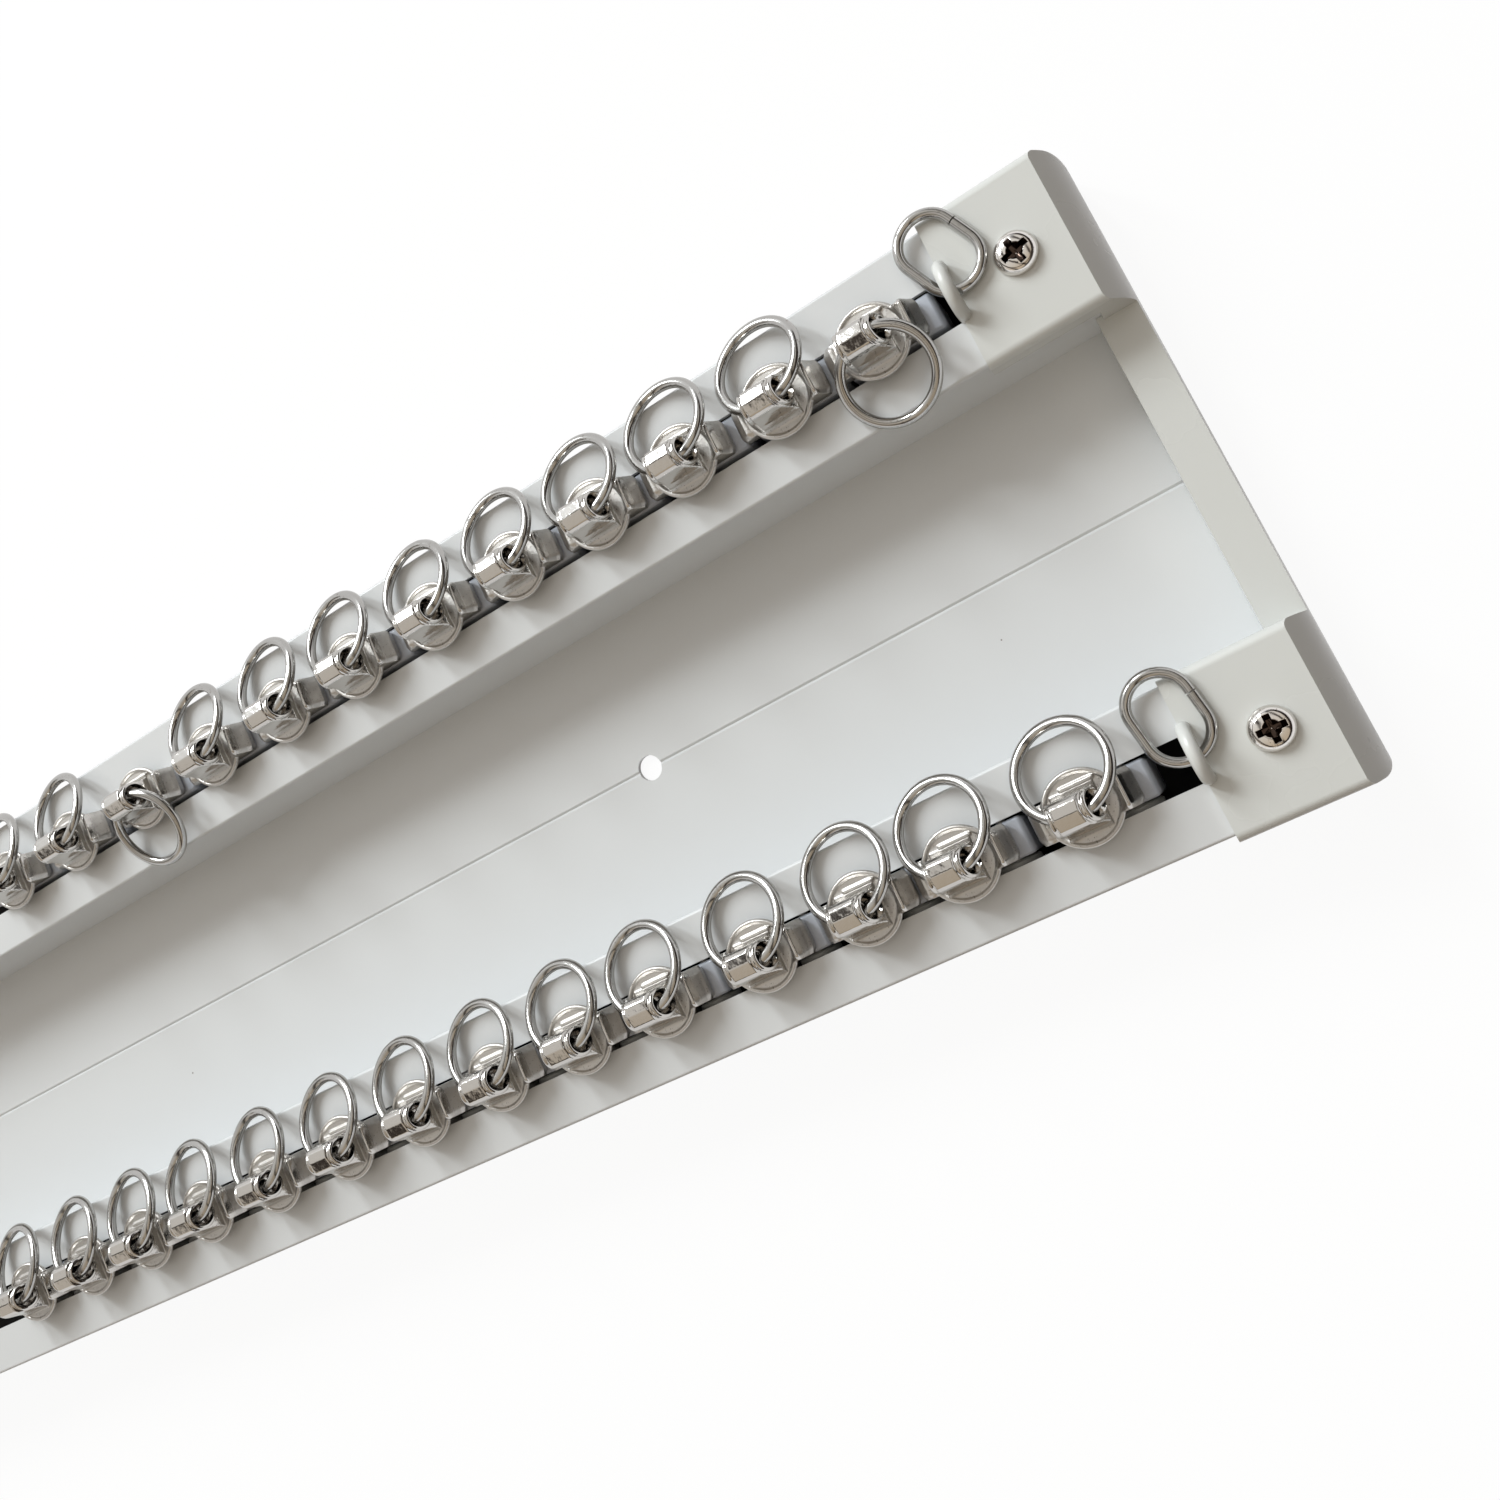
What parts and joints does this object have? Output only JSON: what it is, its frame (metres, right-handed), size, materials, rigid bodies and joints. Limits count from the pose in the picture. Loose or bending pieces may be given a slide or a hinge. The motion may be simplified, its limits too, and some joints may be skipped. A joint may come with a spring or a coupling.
{
  "type": "double curtain track",
  "caption": "Double curtain track: two slotted channels on one web, capped ends with tie-off links, and wheeled carriers whose rings swing from a bored knuckle",
  "frame": {"origin": "middle of the flat back of the profile, which screws to the ceiling or the wall", "axes": "+X along the track towards the end that holds the oval links, +Y towards the rear channel, +Z out of the slots"},
  "size_m": [0.606, 0.1185, 0.0305],
  "materials": {
    "coated_profile": "satin light grey powder coat",
    "liner": "matt black",
    "cap_plastic": "satin off-white moulding",
    "chrome_plate": "polished plate over a cast or drawn surface",
    "zinc_steel": "zinc plated"
  },
  "bodies": {
    "track": {"track_profile": "coated_profile", "channel_liners": "liner", "end_cap_right": "cap_plastic", "end_cap_left": "cap_plastic", "cap_screws": "chrome_plate", "clamp_nuts": "zinc_steel"},
    "rear_link": {"rear_oval_link": "chrome_plate"},
    "front_link": {"front_oval_link": "chrome_plate"},
    "rear_carrier_01": {"rear_carrier_01": "chrome_plate"},
    "rear_ring_01": {"rear_ring_01": "chrome_plate"},
    "rear_carrier_02": {"rear_carrier_02": "chrome_plate"},
    "rear_ring_02": {"rear_ring_02": "chrome_plate"},
    "rear_carrier_03": {"rear_carrier_03": "chrome_plate"},
    "rear_ring_03": {"rear_ring_03": "chrome_plate"},
    "rear_carrier_04": {"rear_carrier_04": "chrome_plate"},
    "rear_ring_04": {"rear_ring_04": "chrome_plate"},
    "rear_carrier_05": {"rear_carrier_05": "chrome_plate"},
    "rear_ring_05": {"rear_ring_05": "chrome_plate"},
    "rear_carrier_06": {"rear_carrier_06": "chrome_plate"},
    "rear_ring_06": {"rear_ring_06": "chrome_plate"},
    "rear_carrier_07": {"rear_carrier_07": "chrome_plate"},
    "rear_ring_07": {"rear_ring_07": "chrome_plate"},
    "rear_carrier_08": {"rear_carrier_08": "chrome_plate"},
    "rear_ring_08": {"rear_ring_08": "chrome_plate"},
    "rear_carrier_09": {"rear_carrier_09": "chrome_plate"},
    "rear_ring_09": {"rear_ring_09": "chrome_plate"},
    "rear_carrier_10": {"rear_carrier_10": "chrome_plate"},
    "rear_ring_10": {"rear_ring_10": "chrome_plate"},
    "rear_carrier_11": {"rear_carrier_11": "chrome_plate"},
    "rear_ring_11": {"rear_ring_11": "chrome_plate"},
    "rear_carrier_12": {"rear_carrier_12": "chrome_plate"},
    "rear_ring_12": {"rear_ring_12": "chrome_plate"},
    "front_carrier_01": {"front_carrier_01": "chrome_plate"},
    "front_ring_01": {"front_ring_01": "chrome_plate"},
    "front_carrier_02": {"front_carrier_02": "chrome_plate"},
    "front_ring_02": {"front_ring_02": "chrome_plate"},
    "front_carrier_03": {"front_carrier_03": "chrome_plate"},
    "front_ring_03": {"front_ring_03": "chrome_plate"},
    "front_carrier_04": {"front_carrier_04": "chrome_plate"},
    "front_ring_04": {"front_ring_04": "chrome_plate"},
    "front_carrier_05": {"front_carrier_05": "chrome_plate"},
    "front_ring_05": {"front_ring_05": "chrome_plate"},
    "front_carrier_06": {"front_carrier_06": "chrome_plate"},
    "front_ring_06": {"front_ring_06": "chrome_plate"},
    "front_carrier_07": {"front_carrier_07": "chrome_plate"},
    "front_ring_07": {"front_ring_07": "chrome_plate"},
    "front_carrier_08": {"front_carrier_08": "chrome_plate"},
    "front_ring_08": {"front_ring_08": "chrome_plate"},
    "front_carrier_09": {"front_carrier_09": "chrome_plate"},
    "front_ring_09": {"front_ring_09": "chrome_plate"},
    "front_carrier_10": {"front_carrier_10": "chrome_plate"},
    "front_ring_10": {"front_ring_10": "chrome_plate"},
    "front_carrier_11": {"front_carrier_11": "chrome_plate"},
    "front_ring_11": {"front_ring_11": "chrome_plate"},
    "front_carrier_12": {"front_carrier_12": "chrome_plate"},
    "front_ring_12": {"front_ring_12": "chrome_plate"},
    "front_carrier_13": {"front_carrier_13": "chrome_plate"},
    "front_ring_13": {"front_ring_13": "chrome_plate"},
    "front_carrier_14": {"front_carrier_14": "chrome_plate"},
    "front_ring_14": {"front_ring_14": "chrome_plate"}
  },
  "joints": [
    {"name": "rear_link_swing", "type": "hinge", "parent": "track", "child": "rear_link", "pos_m": [0.2775, 0.04376, 0.0226], "axis": [1, 0, 0], "range_deg": [0, 180]},
    {"name": "front_link_swing", "type": "hinge", "parent": "track", "child": "front_link", "pos_m": [0.2775, -0.04353, 0.0226], "axis": [1, 0, 0], "range_deg": [0, 180]},
    {"name": "rear_carrier_01_slide", "type": "slide", "parent": "track", "child": "rear_carrier_01", "axis": [-1, 0, 0], "range_m": [-0.0004, 0.025]},
    {"name": "rear_ring_01_swing", "type": "hinge", "parent": "rear_carrier_01", "child": "rear_ring_01", "pos_m": [0.2612, 0.044, 0.0276], "axis": [-1, 0, 0], "range_deg": [0, 186]},
    {"name": "rear_carrier_02_slide", "type": "slide", "parent": "rear_carrier_01", "child": "rear_carrier_02", "axis": [-1, 0, 0], "range_m": [-0.0007, 0.025]},
    {"name": "rear_ring_02_swing", "type": "hinge", "parent": "rear_carrier_02", "child": "rear_ring_02", "pos_m": [0.2418, 0.044, 0.0276], "axis": [1, 0, 0], "range_deg": [0, 186]},
    {"name": "rear_carrier_03_slide", "type": "slide", "parent": "rear_carrier_02", "child": "rear_carrier_03", "axis": [-1, 0, 0], "range_m": [-0.0016, 0.025]},
    {"name": "rear_ring_03_swing", "type": "hinge", "parent": "rear_carrier_03", "child": "rear_ring_03", "pos_m": [0.2215, 0.044, 0.0276], "axis": [1, 0, 0], "range_deg": [0, 186]},
    {"name": "rear_carrier_04_slide", "type": "slide", "parent": "rear_carrier_03", "child": "rear_carrier_04", "axis": [-1, 0, 0], "range_m": [-0.0008, 0.025]},
    {"name": "rear_ring_04_swing", "type": "hinge", "parent": "rear_carrier_04", "child": "rear_ring_04", "pos_m": [0.202, 0.044, 0.0276], "axis": [1, 0, 0], "range_deg": [0, 186]},
    {"name": "rear_carrier_05_slide", "type": "slide", "parent": "rear_carrier_04", "child": "rear_carrier_05", "axis": [-1, 0, 0], "range_m": [-0.0012, 0.025]},
    {"name": "rear_ring_05_swing", "type": "hinge", "parent": "rear_carrier_05", "child": "rear_ring_05", "pos_m": [0.1821, 0.044, 0.0276], "axis": [1, 0, 0], "range_deg": [0, 186]},
    {"name": "rear_carrier_06_slide", "type": "slide", "parent": "rear_carrier_05", "child": "rear_carrier_06", "axis": [-1, 0, 0], "range_m": [-0.0017, 0.025]},
    {"name": "rear_ring_06_swing", "type": "hinge", "parent": "rear_carrier_06", "child": "rear_ring_06", "pos_m": [0.1617, 0.044, 0.0276], "axis": [1, 0, 0], "range_deg": [0, 186]},
    {"name": "rear_carrier_07_slide", "type": "slide", "parent": "rear_carrier_06", "child": "rear_carrier_07", "axis": [-1, 0, 0], "range_m": [-0.0023, 0.025]},
    {"name": "rear_ring_07_swing", "type": "hinge", "parent": "rear_carrier_07", "child": "rear_ring_07", "pos_m": [0.1407, 0.044, 0.0276], "axis": [1, 0, 0], "range_deg": [0, 186]},
    {"name": "rear_carrier_08_slide", "type": "slide", "parent": "rear_carrier_07", "child": "rear_carrier_08", "axis": [-1, 0, 0], "range_m": [-0.0013, 0.025]},
    {"name": "rear_ring_08_swing", "type": "hinge", "parent": "rear_carrier_08", "child": "rear_ring_08", "pos_m": [0.1207, 0.044, 0.0276], "axis": [1, 0, 0], "range_deg": [0, 186]},
    {"name": "rear_carrier_09_slide", "type": "slide", "parent": "rear_carrier_08", "child": "rear_carrier_09", "axis": [-1, 0, 0], "range_m": [-0.0023, 0.025]},
    {"name": "rear_ring_09_swing", "type": "hinge", "parent": "rear_carrier_09", "child": "rear_ring_09", "pos_m": [0.0997, 0.044, 0.0276], "axis": [1, 0, 0], "range_deg": [0, 186]},
    {"name": "rear_carrier_10_slide", "type": "slide", "parent": "rear_carrier_09", "child": "rear_carrier_10", "axis": [-1, 0, 0], "range_m": [-0.003, 0.025]},
    {"name": "rear_ring_10_swing", "type": "hinge", "parent": "rear_carrier_10", "child": "rear_ring_10", "pos_m": [0.078, 0.044, 0.0276], "axis": [-1, 0, 0], "range_deg": [0, 186]},
    {"name": "rear_carrier_11_slide", "type": "slide", "parent": "rear_carrier_10", "child": "rear_carrier_11", "axis": [-1, 0, 0], "range_m": [-0.0036, 0.025]},
    {"name": "rear_ring_11_swing", "type": "hinge", "parent": "rear_carrier_11", "child": "rear_ring_11", "pos_m": [0.0557, 0.044, 0.0276], "axis": [1, 0, 0], "range_deg": [0, 186]},
    {"name": "rear_carrier_12_slide", "type": "slide", "parent": "rear_carrier_11", "child": "rear_carrier_12", "axis": [-1, 0, 0], "range_m": [-0.0027, 0.025]},
    {"name": "rear_ring_12_swing", "type": "hinge", "parent": "rear_carrier_12", "child": "rear_ring_12", "pos_m": [0.0343, 0.044, 0.0276], "axis": [1, 0, 0], "range_deg": [0, 186]},
    {"name": "front_carrier_01_slide", "type": "slide", "parent": "track", "child": "front_carrier_01", "axis": [-1, 0, 0], "range_m": [-0.002, 0.0185]},
    {"name": "front_ring_01_swing", "type": "hinge", "parent": "front_carrier_01", "child": "front_ring_01", "pos_m": [0.2569, -0.0432, 0.0276], "axis": [1, 0, 0], "range_deg": [0, 186]},
    {"name": "front_carrier_02_slide", "type": "slide", "parent": "front_carrier_01", "child": "front_carrier_02", "axis": [-1, 0, 0], "range_m": [-0.0037, 0.0185]},
    {"name": "front_ring_02_swing", "type": "hinge", "parent": "front_carrier_02", "child": "front_ring_02", "pos_m": [0.2345, -0.0432, 0.0276], "axis": [1, 0, 0], "range_deg": [0, 186]},
    {"name": "front_carrier_03_slide", "type": "slide", "parent": "front_carrier_02", "child": "front_carrier_03", "axis": [-1, 0, 0], "range_m": [-0.0002, 0.0185]},
    {"name": "front_ring_03_swing", "type": "hinge", "parent": "front_carrier_03", "child": "front_ring_03", "pos_m": [0.2156, -0.0432, 0.0276], "axis": [1, 0, 0], "range_deg": [0, 186]},
    {"name": "front_carrier_04_slide", "type": "slide", "parent": "front_carrier_03", "child": "front_carrier_04", "axis": [-1, 0, 0], "range_m": [-0.0027, 0.0185]},
    {"name": "front_ring_04_swing", "type": "hinge", "parent": "front_carrier_04", "child": "front_ring_04", "pos_m": [0.1942, -0.0432, 0.0276], "axis": [1, 0, 0], "range_deg": [0, 186]},
    {"name": "front_carrier_05_slide", "type": "slide", "parent": "front_carrier_04", "child": "front_carrier_05", "axis": [-1, 0, 0], "range_m": [-0.0034, 0.0185]},
    {"name": "front_ring_05_swing", "type": "hinge", "parent": "front_carrier_05", "child": "front_ring_05", "pos_m": [0.1721, -0.0432, 0.0276], "axis": [1, 0, 0], "range_deg": [0, 186]},
    {"name": "front_carrier_06_slide", "type": "slide", "parent": "front_carrier_05", "child": "front_carrier_06", "axis": [-1, 0, 0], "range_m": [-0.0004, 0.0185]},
    {"name": "front_ring_06_swing", "type": "hinge", "parent": "front_carrier_06", "child": "front_ring_06", "pos_m": [0.153, -0.0432, 0.0276], "axis": [1, 0, 0], "range_deg": [0, 186]},
    {"name": "front_carrier_07_slide", "type": "slide", "parent": "front_carrier_06", "child": "front_carrier_07", "axis": [-1, 0, 0], "range_m": [-0.0013, 0.0185]},
    {"name": "front_ring_07_swing", "type": "hinge", "parent": "front_carrier_07", "child": "front_ring_07", "pos_m": [0.133, -0.0432, 0.0276], "axis": [1, 0, 0], "range_deg": [0, 186]},
    {"name": "front_carrier_08_slide", "type": "slide", "parent": "front_carrier_07", "child": "front_carrier_08", "axis": [-1, 0, 0], "range_m": [-0.0013, 0.0185]},
    {"name": "front_ring_08_swing", "type": "hinge", "parent": "front_carrier_08", "child": "front_ring_08", "pos_m": [0.113, -0.0432, 0.0276], "axis": [1, 0, 0], "range_deg": [0, 186]},
    {"name": "front_carrier_09_slide", "type": "slide", "parent": "front_carrier_08", "child": "front_carrier_09", "axis": [-1, 0, 0], "range_m": [-0.0018, 0.0185]},
    {"name": "front_ring_09_swing", "type": "hinge", "parent": "front_carrier_09", "child": "front_ring_09", "pos_m": [0.0925, -0.0432, 0.0276], "axis": [1, 0, 0], "range_deg": [0, 186]},
    {"name": "front_carrier_10_slide", "type": "slide", "parent": "front_carrier_09", "child": "front_carrier_10", "axis": [-1, 0, 0], "range_m": [-0.0018, 0.0185]},
    {"name": "front_ring_10_swing", "type": "hinge", "parent": "front_carrier_10", "child": "front_ring_10", "pos_m": [0.072, -0.0432, 0.0276], "axis": [1, 0, 0], "range_deg": [0, 186]},
    {"name": "front_carrier_11_slide", "type": "slide", "parent": "front_carrier_10", "child": "front_carrier_11", "axis": [-1, 0, 0], "range_m": [-0.0014, 0.0185]},
    {"name": "front_ring_11_swing", "type": "hinge", "parent": "front_carrier_11", "child": "front_ring_11", "pos_m": [0.0519, -0.0432, 0.0276], "axis": [1, 0, 0], "range_deg": [0, 186]},
    {"name": "front_carrier_12_slide", "type": "slide", "parent": "front_carrier_11", "child": "front_carrier_12", "axis": [-1, 0, 0], "range_m": [-0.0002, 0.0185]},
    {"name": "front_ring_12_swing", "type": "hinge", "parent": "front_carrier_12", "child": "front_ring_12", "pos_m": [0.033, -0.0432, 0.0276], "axis": [1, 0, 0], "range_deg": [0, 186]},
    {"name": "front_carrier_13_slide", "type": "slide", "parent": "front_carrier_12", "child": "front_carrier_13", "axis": [-1, 0, 0], "range_m": [-0.0002, 0.0185]},
    {"name": "front_ring_13_swing", "type": "hinge", "parent": "front_carrier_13", "child": "front_ring_13", "pos_m": [0.0141, -0.0432, 0.0276], "axis": [1, 0, 0], "range_deg": [0, 186]},
    {"name": "front_carrier_14_slide", "type": "slide", "parent": "front_carrier_13", "child": "front_carrier_14", "axis": [-1, 0, 0], "range_m": [-0.0009, 0.0185]},
    {"name": "front_ring_14_swing", "type": "hinge", "parent": "front_carrier_14", "child": "front_ring_14", "pos_m": [-0.0055, -0.0432, 0.0276], "axis": [1, 0, 0], "range_deg": [0, 186]}
  ]
}
